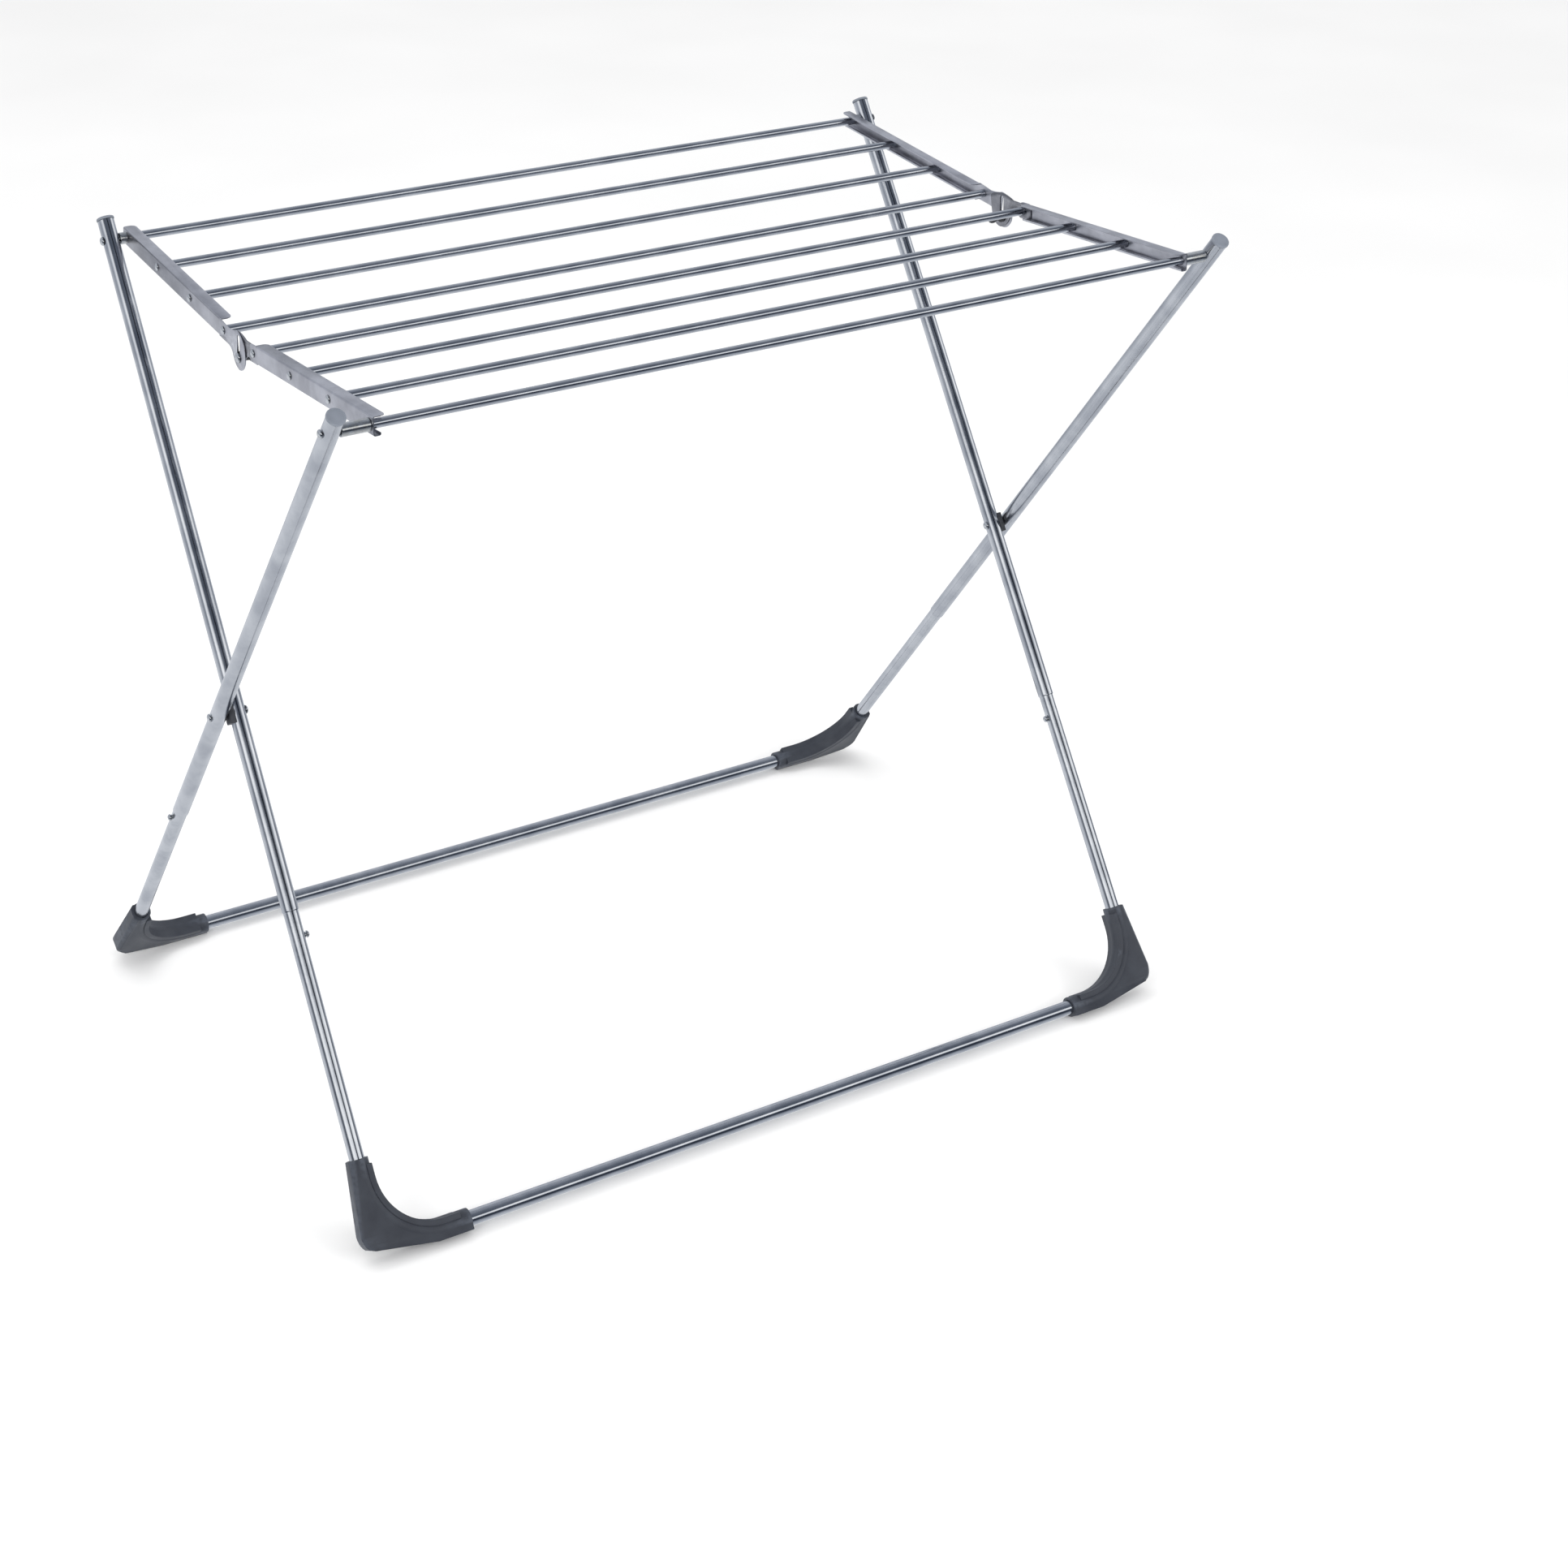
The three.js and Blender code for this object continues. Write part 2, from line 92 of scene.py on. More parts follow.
def deselectAll():
    if bpy.context.object and bpy.context.object.mode != "OBJECT":
        bpy.ops.object.mode_set(mode="OBJECT")
    bpy.ops.object.select_all(action="DESELECT")


def makeActive(piece):
    deselectAll()
    piece.select_set(True)
    bpy.context.view_layer.objects.active = piece


def startEdit(piece, mode="FACE"):
    makeActive(piece)
    bpy.ops.object.mode_set(mode="EDIT")
    bpy.ops.mesh.select_mode(type=mode)
    bpy.ops.mesh.select_all(action="DESELECT")


def pickFaces(test):
    # selects the faces whose centre and normal pass the test, in mm
    bpy.ops.mesh.select_all(action="DESELECT")
    mesh = bmesh.from_edit_mesh(bpy.context.object.data)
    for face in mesh.faces:
        if test(face.calc_center_median() / mm, face.normal):
            face.select_set(True)
    bmesh.update_edit_mesh(bpy.context.object.data)


def pickEdges(test):
    # selects the edges whose two ends pass the test, in mm
    bpy.ops.mesh.select_all(action="DESELECT")
    mesh = bmesh.from_edit_mesh(bpy.context.object.data)
    for edge in mesh.edges:
        a, b = (v.co / mm for v in edge.verts)
        if test(a, b):
            edge.select_set(True)
    bmesh.update_edit_mesh(bpy.context.object.data)


def closeUp(piece, near=0.001):
    # merges points nearer than `near` mm, turns every face out
    startEdit(piece)
    bpy.ops.mesh.select_all(action="SELECT")
    bpy.ops.mesh.remove_doubles(threshold=near * mm)
    bpy.ops.mesh.normals_make_consistent(inside=False)
    deselectAll()
    return piece


def settle(piece, place=asBuilt):
    # bakes the object's own place and then `place` into the mesh
    makeActive(piece)
    bpy.ops.object.transform_apply(location=True, rotation=True, scale=True)
    piece.data.transform(place)
    if place.determinant() < 0:
        piece.data.flip_normals()
    return piece


def applied(piece, kind, **settings):
    # adds one modifier and applies it
    makeActive(piece)
    bpy.ops.object.modifier_add(type=kind)
    modifier = piece.modifiers[-1]
    for key, value in settings.items():
        setattr(modifier, key, value)
    bpy.ops.object.modifier_apply(modifier=modifier.name)
    return piece


def joined(piece, other, how="UNION"):
    applied(piece, "BOOLEAN", object=other, operation=how, solver="EXACT")
    bpy.data.objects.remove(other)
    return piece


def softened(piece, width, segments=2, angle=35):
    # rounds the edges that are sharper than `angle`, by `width` mm
    applied(piece, "BEVEL", width=width * mm, segments=segments, limit_method="ANGLE",
            angle_limit=radians(angle), harden_normals=False)
    return piece


def smoothed(piece, angle=32):
    makeActive(piece)
    bpy.ops.object.shade_smooth_by_angle(angle=radians(angle))
    return piece


def turnedPiece(name, profile, count=40):
    # a solid turned on local Z from (height, radius) in mm: a circle, extruded and scaled from step to step
    deselectAll()
    height, radius = profile[0]
    bpy.ops.mesh.primitive_circle_add(vertices=count, radius=radius * mm, fill_type="NGON",
                                      location=(0, 0, height * mm), enter_editmode=True)
    for (h0, r0), (h1, r1) in zip(profile, profile[1:]):
        bpy.ops.mesh.extrude_region_move(TRANSFORM_OT_translate={"value": (0, 0, (h1 - h0) * mm)})
        if r1 != r0:
            bpy.ops.transform.resize(value=(r1 / r0, r1 / r0, 1))
    deselectAll()
    piece = bpy.context.view_layer.objects.active
    piece.name = name
    settle(piece)
    closeUp(piece)
    return smoothed(piece)


def domeProfile(start, radius, rise, steps=8):
    # a rounded head, its flat side at `start`
    profile = [(start, radius * 0.97), (start + 0.25, radius)]
    for i in range(1, steps + 1):
        turn = pi / 2 * i / steps
        profile.append((start + 0.25 + (rise - 0.25) * sin(turn), max(radius * cos(turn), radius * 0.03)))
    return profile


def prism(name, outlines, low, high):
    # a closed solid from flat outlines in mm, the first the rim and the others holes, thick along local Z
    deselectAll()
    curve = bpy.data.curves.new(name, "CURVE")
    curve.dimensions = "2D"
    curve.fill_mode = "BOTH"
    curve.extrude = (high - low) / 2 * mm
    for outline in outlines:
        spline = curve.splines.new("POLY")
        spline.points.add(len(outline) - 1)
        for point, (x, y) in zip(spline.points, outline):
            point.co = (x * mm, y * mm, 0, 1)
        spline.use_cyclic_u = True
    piece = bpy.data.objects.new(name, curve)
    bpy.context.collection.objects.link(piece)
    piece.location.z = (high + low) / 2 * mm
    makeActive(piece)
    bpy.ops.object.convert(target="MESH")
    piece = bpy.context.view_layer.objects.active
    settle(piece)
    return closeUp(piece)


def bow(start, control, end, steps=8):
    # points of a smooth bend from start towards end, start left out
    points = []
    for i in range(1, steps + 1):
        t = i / steps
        points.append(tuple((1 - t) ** 2 * s + 2 * t * (1 - t) * c + t * t * e
                            for s, c, e in zip(start, control, end)))
    return points


def arc(cx, cy, radius, start, end, steps=10):
    # points of an arc round (cx, cy), angles in degrees
    return [(cx + radius * cos(radians(start + (end - start) * i / steps)),
             cy + radius * sin(radians(start + (end - start) * i / steps))) for i in range(steps + 1)]


def cornerSweep(name, radius, barLength, top, count=48, bendSteps=20):
    # round bar along local X up to the leg axis at x = 0, round the bend, and up to `top`
    deselectAll()
    bend = tube["bend"]
    bpy.ops.mesh.primitive_circle_add(vertices=count, radius=radius * mm, fill_type="NOTHING",
                                      location=(-barLength * mm, 0, 0), rotation=(0, pi / 2, 0))
    piece = bpy.context.view_layer.objects.active
    piece.name = name
    settle(piece)
    makeActive(piece)
    bpy.ops.object.mode_set(mode="EDIT")
    bpy.ops.mesh.select_mode(type="EDGE")
    bpy.ops.mesh.select_all(action="SELECT")
    bpy.ops.mesh.extrude_region_move(TRANSFORM_OT_translate={"value": ((barLength - bend) * mm, 0, 0)})
    bpy.ops.mesh.spin(steps=bendSteps, angle=pi / 2, center=(-bend * mm, 0, bend * mm), axis=(0, 1, 0))
    bpy.ops.mesh.extrude_region_move(TRANSFORM_OT_translate={"value": (0, 0, (top - bend) * mm)})
    bpy.ops.mesh.select_all(action="SELECT")
    bpy.ops.mesh.fill_holes(sides=0)
    deselectAll()
    return closeUp(piece)


def copyOf(piece, name, place):
    # a copy with its own mesh, put in its place
    other = piece.copy()
    other.data = piece.data.copy()
    other.name = name
    bpy.context.collection.objects.link(other)
    other.data.transform(place)
    if place.determinant() < 0:
        other.data.flip_normals()
    return other


def finishPiece(piece, node, body, material):
    # hands a piece over: its finish, what it rides on, what it stands for
    piece.data.materials.clear()
    piece.data.materials.append(material)
    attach(piece, body)
    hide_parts(node)


def dropBlanks(*blanks):
    for blank in blanks:
        bpy.data.objects.remove(blank)


def srgb(code):
    # sRGB hex to the linear colour that shaders read
    parts = [int(code[i:i + 2], 16) / 255 for i in (1, 3, 5)]
    return tuple(p / 12.92 if p <= 0.04045 else ((p + 0.055) / 1.055) ** 2.4 for p in parts) + (1,)


def addNode(tree, kind, settings=None, links=None):
    # one node: settings are a ramp's stops, inputs by name or number, or properties; links go into its inputs
    node = tree.nodes.new(kind)
    for key, value in (settings or {}).items():
        if key == "stops":
            stops = node.color_ramp.elements
            for i, (position, code) in enumerate(value):
                stop = stops[i] if i < 2 else stops.new(position)
                stop.position, stop.color = position, srgb(code)
        elif isinstance(key, int) or key in node.inputs:
            node.inputs[key].default_value = value
        else:
            setattr(node, key, value)
    for key, source in (links or {}).items():
        tree.links.new(source, node.inputs[key])
    return node


def newMaterial(name, settings):
    material = bpy.data.materials.new(name)
    material.use_nodes = True
    tree = material.node_tree
    tree.nodes.clear()
    shader = addNode(tree, "ShaderNodeBsdfPrincipled", settings)
    addNode(tree, "ShaderNodeOutputMaterial", None, {"Surface": shader.outputs["BSDF"]})
    local = addNode(tree, "ShaderNodeTexCoord").outputs["Object"]
    return material, tree, shader, local


wear = {"from": 0.53, "full": 0.62, "patches": 160.0}


def wearEdges(tree, shader, local, rough, tint, look):
    # rims and folds are rubbed by hands, washing and the floor: a broken line of another shade along them
    shape = addNode(tree, "ShaderNodeNewGeometry")
    broken = addNode(tree, "ShaderNodeTexNoise", {"Scale": wear["patches"], "Detail": 3.0},
                     {"Vector": local})  # gaps about 6 mm long
    sharp = addNode(tree, "ShaderNodeMapRange", {"From Min": wear["from"], "From Max": wear["full"]},
                    {"Value": shape.outputs["Pointiness"]})
    gaps = addNode(tree, "ShaderNodeMapRange", {"From Min": 0.35, "From Max": 0.6, "To Min": 0.15},
                   {"Value": broken.outputs["Fac"]})
    worn = addNode(tree, "ShaderNodeMath", {"operation": "MULTIPLY"},
                   {0: sharp.outputs["Result"], 1: gaps.outputs["Result"]})
    shaded = addNode(tree, "ShaderNodeMixRGB", {"Color2": srgb(look["worn"])},
                     {"Fac": worn.outputs[0], "Color1": tint})
    rubbed = addNode(tree, "ShaderNodeMath", {"operation": "MULTIPLY_ADD", 1: look["rub"]},
                     {0: worn.outputs[0], 2: rough})
    tree.links.new(shaded.outputs["Color"], shader.inputs["Base Color"])
    tree.links.new(rubbed.outputs[0], shader.inputs["Roughness"])


def polishedTube(name, turn, look):
    # Stainless tube, drawn and belt-polished: mirror-like with faint long lines and a soft uneven haze.
    material, tree, shader, local = newMaterial(name, {"Metallic": 1.0})
    # the lines run along X on the rails and upright on the legs
    lined = addNode(tree, "ShaderNodeMapping", {"Rotation": turn, "Scale": (2, 1, 1)}, {"Vector": local})
    # 0.4 to 0.7 mm apart and 80 to 170 mm long, coarser than polishing marks so that they show
    stretched = addNode(tree, "ShaderNodeVectorMath", {"operation": "MULTIPLY", 1: (6, 1400, 1400)},
                        {0: lined.outputs["Vector"]})
    lines = addNode(tree, "ShaderNodeTexNoise", {"Scale": 1.0, "Detail": 2.0, "Roughness": 0.6},
                    {"Vector": stretched.outputs[0]})
    # clouds about 35 mm across
    haze = addNode(tree, "ShaderNodeTexNoise", {"Scale": 28.0, "Detail": 3.0}, {"Vector": local})
    mixed = addNode(tree, "ShaderNodeMath", {"operation": "MULTIPLY_ADD", 1: 0.6},
                    {0: lines.outputs["Fac"], 2: haze.outputs["Fac"]})
    rough = addNode(tree, "ShaderNodeMapRange", {"From Min": 0.5, "From Max": 1.1, "To Min": look["smooth"],
                                                 "To Max": look["hazy"]}, {"Value": mixed.outputs[0]})
    tint = addNode(tree, "ShaderNodeValToRGB", {"stops": [(0.35, look["dark"]), (0.65, look["light"])]},
                   {"Fac": haze.outputs["Fac"]})
    wearEdges(tree, shader, local, rough.outputs["Result"], tint.outputs["Color"], look)
    bump = addNode(tree, "ShaderNodeBump", {"Strength": look["lines"], "Distance": 0.00002},
                   {"Height": lines.outputs["Fac"]})
    tree.links.new(bump.outputs["Normal"], shader.inputs["Normal"])
    return material


def satinSheet(name, look):
    # Rolled steel sheet, brushed lengthwise: a broad soft sheen with fine streaks along the channel.
    material, tree, shader, local = newMaterial(name, {"Metallic": 1.0})
    # streaks 0.6 mm apart and about 70 mm long
    stretched = addNode(tree, "ShaderNodeVectorMath", {"operation": "MULTIPLY", 1: (1600, 14, 1600)},
                        {0: local})
    streaks = addNode(tree, "ShaderNodeTexNoise", {"Scale": 1.0, "Detail": 3.0, "Roughness": 0.65},
                      {"Vector": stretched.outputs[0]})
    cloud = addNode(tree, "ShaderNodeTexNoise", {"Scale": 35.0, "Detail": 3.0}, {"Vector": local})
    rough = addNode(tree, "ShaderNodeMapRange", {"From Min": 0.3, "From Max": 0.7, "To Min": look["smooth"],
                                                 "To Max": look["hazy"]}, {"Value": streaks.outputs["Fac"]})
    tint = addNode(tree, "ShaderNodeValToRGB", {"stops": [(0.35, look["dark"]), (0.65, look["light"])]},
                   {"Fac": cloud.outputs["Fac"]})
    wearEdges(tree, shader, local, rough.outputs["Result"], tint.outputs["Color"], look)
    bump = addNode(tree, "ShaderNodeBump", {"Strength": look["lines"], "Distance": 0.00003},
                   {"Height": streaks.outputs["Fac"]})
    tree.links.new(bump.outputs["Normal"], shader.inputs["Normal"])
    return material


def mouldedPlastic(name, look):
    # Injection-moulded polypropylene with a spark-eroded grain: matt, slightly uneven, paler where rubbed.
    material, tree, shader, local = newMaterial(name, {"IOR": 1.49})
    # grain about 1 mm, coarser than the real one so that it shows
    grain = addNode(tree, "ShaderNodeTexNoise", {"Scale": 900.0, "Detail": 2.0}, {"Vector": local})
    cloud = addNode(tree, "ShaderNodeTexNoise", {"Scale": 45.0, "Detail": 4.0}, {"Vector": local})
    tint = addNode(tree, "ShaderNodeValToRGB", {"stops": [(0.3, look["dark"]), (0.7, look["light"])]},
                   {"Fac": cloud.outputs["Fac"]})
    rough = addNode(tree, "ShaderNodeMapRange", {"From Min": 0.3, "From Max": 0.7, "To Min": look["smooth"],
                                                 "To Max": look["matt"]}, {"Value": cloud.outputs["Fac"]})
    wearEdges(tree, shader, local, rough.outputs["Result"], tint.outputs["Color"], look)
    bump = addNode(tree, "ShaderNodeBump", {"Strength": 0.25, "Distance": 0.00008},
                   {"Height": grain.outputs["Fac"]})
    tree.links.new(bump.outputs["Normal"], shader.inputs["Normal"])
    return material


def platedSteel(name, look):
    # Bright zinc-nickel plating on headed steel: clean highlights with a slight orange-peel waviness.
    material, tree, shader, local = newMaterial(name, {"Metallic": 1.0})
    # waves 2.4 mm long
    peel = addNode(tree, "ShaderNodeTexNoise", {"Scale": 420.0, "Detail": 2.0}, {"Vector": local})
    tint = addNode(tree, "ShaderNodeValToRGB", {"stops": [(0.3, look["dark"]), (0.7, look["light"])]},
                   {"Fac": peel.outputs["Fac"]})
    rough = addNode(tree, "ShaderNodeMapRange", {"From Min": 0.3, "From Max": 0.7, "To Min": look["smooth"],
                                                 "To Max": look["hazy"]}, {"Value": peel.outputs["Fac"]})
    wearEdges(tree, shader, local, rough.outputs["Result"], tint.outputs["Color"], look)
    bump = addNode(tree, "ShaderNodeBump", {"Strength": 0.12, "Distance": 0.00006},
                   {"Height": peel.outputs["Fac"]})
    tree.links.new(bump.outputs["Normal"], shader.inputs["Normal"])
    return material


upright = (0, pi / 2, 0)
steelLook = {"dark": "#b9bcc2", "light": "#d2d4d8", "smooth": 0.09, "hazy": 0.17, "lines": 0.25,
             "worn": "#e2e4e7", "rub": 0.12}
sheetLook = {"dark": "#b2b2b8", "light": "#cdcdd3", "smooth": 0.27, "hazy": 0.4, "lines": 0.3,
             "worn": "#dcdde1", "rub": -0.08}
platedLook = {"dark": "#c4c6c9", "light": "#dcdee0", "smooth": 0.1, "hazy": 0.2,
              "worn": "#b3afa4", "rub": 0.15}
footLook = {"dark": "#30333b", "light": "#3a3e46", "smooth": 0.4, "matt": 0.54,
            "worn": "#525863", "rub": -0.08}
capLook = {"dark": "#6f757f", "light": "#7d838e", "smooth": 0.4, "matt": 0.55,
           "worn": "#949aa3", "rub": -0.08}
saddleLook = {"dark": "#25272b", "light": "#303237", "smooth": 0.38, "matt": 0.5,
              "worn": "#45474d", "rub": -0.08}

railFinish = polishedTube("polished stainless rail", (0, 0, 0), dict(steelLook, lines=0.08))
innerFinish = polishedTube("polished stainless inner leg", upright, steelLook)
outerFinish = polishedTube("polished stainless outer leg", upright, dict(steelLook, smooth=0.13, hazy=0.24))
armFinish = satinSheet("brushed steel channel", sheetLook)
# the hinge plate is the channels' brushed steel painted darker: painted shade for the plate that sits recessed
# behind the webs
plateFinishWithPaintedShade = satinSheet("brushed steel hinge plate with painted shade", dict(sheetLook, dark="#86868b", light="#9c9ca1"))
platedFinish = platedSteel("plated steel fastener", platedLook)
footFinish = mouldedPlastic("moulded blue-grey foot plastic", footLook)
capFinish = mouldedPlastic("moulded pale grey cap plastic", capLook)
darkFinish = mouldedPlastic("moulded black saddle plastic", saddleLook)
print("finishes made")


legSizes = {"rimRound": 0.7, "socket": 44, "capDepth": 11, "capRadius": 10.1, "capThick": 3.2, "capPlug": 9}


def legProfile():
    # outer skin from the lower rim up, with a thin-walled mouth at each end
    r, rim, inner = tube["legRadius"], legSizes["rimRound"], tube["legRadius"] - tube["wall"]
    bottom, top = ringAt, legTop - legSizes["capThick"] - tube["gap"]
    socket, plugHole = bottom + legSizes["socket"], top - legSizes["capDepth"]
    profile = [(socket, inner * 0.02), (socket, inner), (bottom + 0.4, inner), (bottom, inner + 0.25)]
    profile += [(bottom, r - rim), (bottom + rim * 0.3, r - rim * 0.3), (bottom + rim, r)]
    profile += [(bottom + rim + 0.6, r), (top - 0.9, r), (top - 0.3, r), (top, r - 0.3)]
    return profile + [(top, inner), (plugHole, inner), (plugHole, inner * 0.02)]


def capProfile():
    # plug, rim and a crown with a shallow dish
    r, top, low = legSizes["capRadius"], legTop, legTop - legSizes["capThick"]
    profile = [(low - legSizes["capPlug"], 7.7), (low, 8), (low, r - 0.4), (low + 0.4, r)]
    profile += [(top - 1.2, r), (top - 0.45, r - 0.3), (top - 0.1, r - 1), (top, r - 1.8), (top, r - 2.6)]
    return profile + [(top - 0.25, r - 3), (top - 0.25, 0.3)]


studSizes = {"neck": 2, "collar": 3, "ball": 4, "reach": 5.6, "innerDrop": 28, "outerDrop": 12}


def studProfile():
    neck, collar, ball = studSizes["neck"], studSizes["collar"], studSizes["ball"]
    profile = [(-2.4, neck), (0.2, neck), (0.2, collar), (1.0, collar), (1.3, collar - 0.4)]
    profile += [(1.4, neck), (2.0, neck), (2.0, ball - 0.6), (2.3, ball)]
    for i in range(1, 9):
        turn = pi / 2 * i / 8
        profile.append((2.6 + (studSizes["reach"] - 2.6) * sin(turn), max(ball * cos(turn), 0.12)))
    return profile


footSizes = {"half": 12, "height": 97, "length": 105, "mouth": 3.1, "mouthDepth": 5,
             "flare": 9, "flat": 42, "gusset": 11.2, "chamfer": 1, "flank": 4, "rim": 5,
             "bandProud": 0.8, "bandRound": 2.2, "bandTop": 7, "bandEnd": 12, "edge": 0.7}


def footBlank():
    # round sleeve over the bend, with a flat gusset that fills the outer corner
    s, bend = footSizes, tube["bend"]
    sleeve = cornerSweep("footSleeve", s["half"], s["length"], s["height"], 44, 16)
    startEdit(sleeve)
    pickFaces(lambda c, n: abs(n.z) > 0.99 and c.z > s["height"] - 1)
    bpy.ops.mesh.inset(thickness=s["mouth"] * mm)
    bpy.ops.mesh.extrude_region_move(TRANSFORM_OT_translate={"value": (0, 0, -s["mouthDepth"] * mm)})
    pickFaces(lambda c, n: abs(n.x) > 0.99 and c.x < 1 - s["length"])
    bpy.ops.mesh.inset(thickness=s["mouth"] * mm)
    bpy.ops.mesh.extrude_region_move(TRANSFORM_OT_translate={"value": (s["mouthDepth"] * mm, 0, 0)})
    deselectAll()
    outer = s["half"] + s["flare"]
    outline = [(1.5, s["height"]), (s["half"] - 0.6, s["height"]), (outer, s["half"] * 1.6)]
    outline += bow((outer, s["half"] * 1.6), (outer - 0.5, s["half"] * 0.5), (s["half"], s["half"] * 0.1), 6)
    outline += [(s["flat"] - s["length"], 0.6 - s["half"]), (-s["length"], 0.6 - s["half"])]
    outline += [(-s["length"], -1.5)]
    # its faces stop short of the inner curve
    outline += arc(-bend, bend, bend - s["rim"], -90, 0, 14)
    slab = prism("footGusset", [outline], -s["gusset"], s["gusset"])
    startEdit(slab, "EDGE")
    pickEdges(lambda a, b: min(a.x, b.x) > s["half"] - 1 and abs(a.z - b.z) < 0.1)
    bpy.ops.mesh.bevel(offset=s["flank"] * mm, segments=1, affect="EDGES")
    deselectAll()
    settle(slab, Matrix.Rotation(pi / 2, 4, "X"))
    softened(slab, s["chamfer"], 2, 50)
    return joined(sleeve, slab)


def footBand():
    # a rounded rib that follows the inner curve and stands proud of the flat faces
    s, bend = footSizes, tube["bend"]
    inside, outside = bend - s["half"] + 0.9, bend - s["rim"] + 0.3
    outline = [(s["bandEnd"] - s["length"], bend - outside)] + arc(-bend, bend, outside, -90, 0, 18)
    outline += [(outside - bend, s["height"] - s["bandTop"]), (inside - bend, s["height"] - s["bandTop"])]
    outline += arc(-bend, bend, inside, 0, -90, 18) + [(s["bandEnd"] - s["length"], bend - inside)]
    band = prism("footBand", [outline], -s["gusset"] - s["bandProud"], s["gusset"] + s["bandProud"])
    settle(band, Matrix.Rotation(pi / 2, 4, "X"))
    return softened(band, s["bandRound"], 4, 60)


def trimmedFoot(place, legX):
    # cut level with the floor, its edges rounded, and its rib added
    foot = settle(footBlank(), Matrix.Translation((legX * mm, 0, 0)))
    settle(foot, place)
    startEdit(foot)
    bpy.ops.mesh.select_all(action="SELECT")
    bpy.ops.mesh.bisect(plane_co=(0, 0, 0.1 * mm), plane_no=(0, 0, 1), use_fill=True, clear_inner=True)
    deselectAll()
    closeUp(foot, 0.02)
    softened(foot, footSizes["edge"], 3, 38)
    band = settle(footBand(), place @ Matrix.Translation((legX * mm, 0, 0)))
    closeUp(joined(foot, band), 0.02)
    return smoothed(foot, 40)


def buildFrame(label, place, legX, tubeFinish, studSide, studDrop):
    body = label + "_frame"
    # floor tube: half of it swept, then mirrored
    floorTube = cornerSweep(label + "FloorTube", tube["floorRadius"], legX, ringAt + 40, tube["sides"], 28)
    startEdit(floorTube)
    pickFaces(lambda c, n: abs(n.x) > 0.99 and c.x < 1 - legX)
    bpy.ops.mesh.delete(type="FACE")
    deselectAll()
    settle(floorTube, Matrix.Translation((legX * mm, 0, 0)))
    applied(floorTube, "MIRROR", use_axis=(True, False, False), use_clip=True, merge_threshold=0.0001)
    closeUp(floorTube)
    smoothed(settle(floorTube, place))
    finishPiece(floorTube, label + "_base", body, tubeFinish)

    leg = turnedPiece(label + "LegBlank", legProfile(), tube["sides"])
    cap = turnedPiece(label + "CapBlank", capProfile(), 48)
    stud = turnedPiece(label + "StudBlank", studProfile(), 28)
    foot = trimmedFoot(place, legX)
    studFace = legX + studSide * tube["floorRadius"]
    for tag, side in sides.items():
        at = place @ Matrix.Translation((side * legX * mm, 0, 0))
        finishPiece(copyOf(leg, label + "Leg_" + tag, at), "%s_leg_%s" % (label, tag), body,
                    tubeFinish)
        finishPiece(copyOf(cap, label + "Cap_" + tag, at), "%s_cap_%s" % (label, tag), body,
                    capFinish)
        out = alongX if side * studSide > 0 else mirrorX @ alongX
        at = place @ Matrix.Translation((side * studFace * mm, 0, (ringAt - studDrop) * mm)) @ out
        finishPiece(copyOf(stud, label + "Stud_" + tag, at), "%s_stud_%s" % (label, tag), body,
                    platedFinish)
        at = asBuilt if side > 0 else place @ mirrorX @ place.inverted()
        finishPiece(copyOf(foot, label + "Foot_" + tag, at), "%s_foot_%s" % (label, tag), body,
                    footFinish)
    dropBlanks(leg, cap, stud, foot)
    print(label, "frame made")


buildFrame("inner", innerPlace, innerX, innerFinish, -1, studSizes["innerDrop"])
buildFrame("outer", outerPlace, outerX, outerFinish, 1, studSizes["outerDrop"])

boltSizes = {"shank": 2.5, "head": 5, "rise": 3, "sleeve": 6.8, "sleeveBore": 2.9, "reach": 7.3}
saddleSizes = {"bite": 4, "width": 16, "height": 24, "round": 1.6, "edge": 0.4}


def placeFastener(blank, name, node, body, y, z, side, finish=platedFinish):
    # the blank points along local Z; on the left side it is mirrored
    at = Matrix.Translation((0, y, z)) @ (alongX if side > 0 else mirrorX @ alongX)
    finishPiece(copyOf(blank, name, at), node, body, finish)


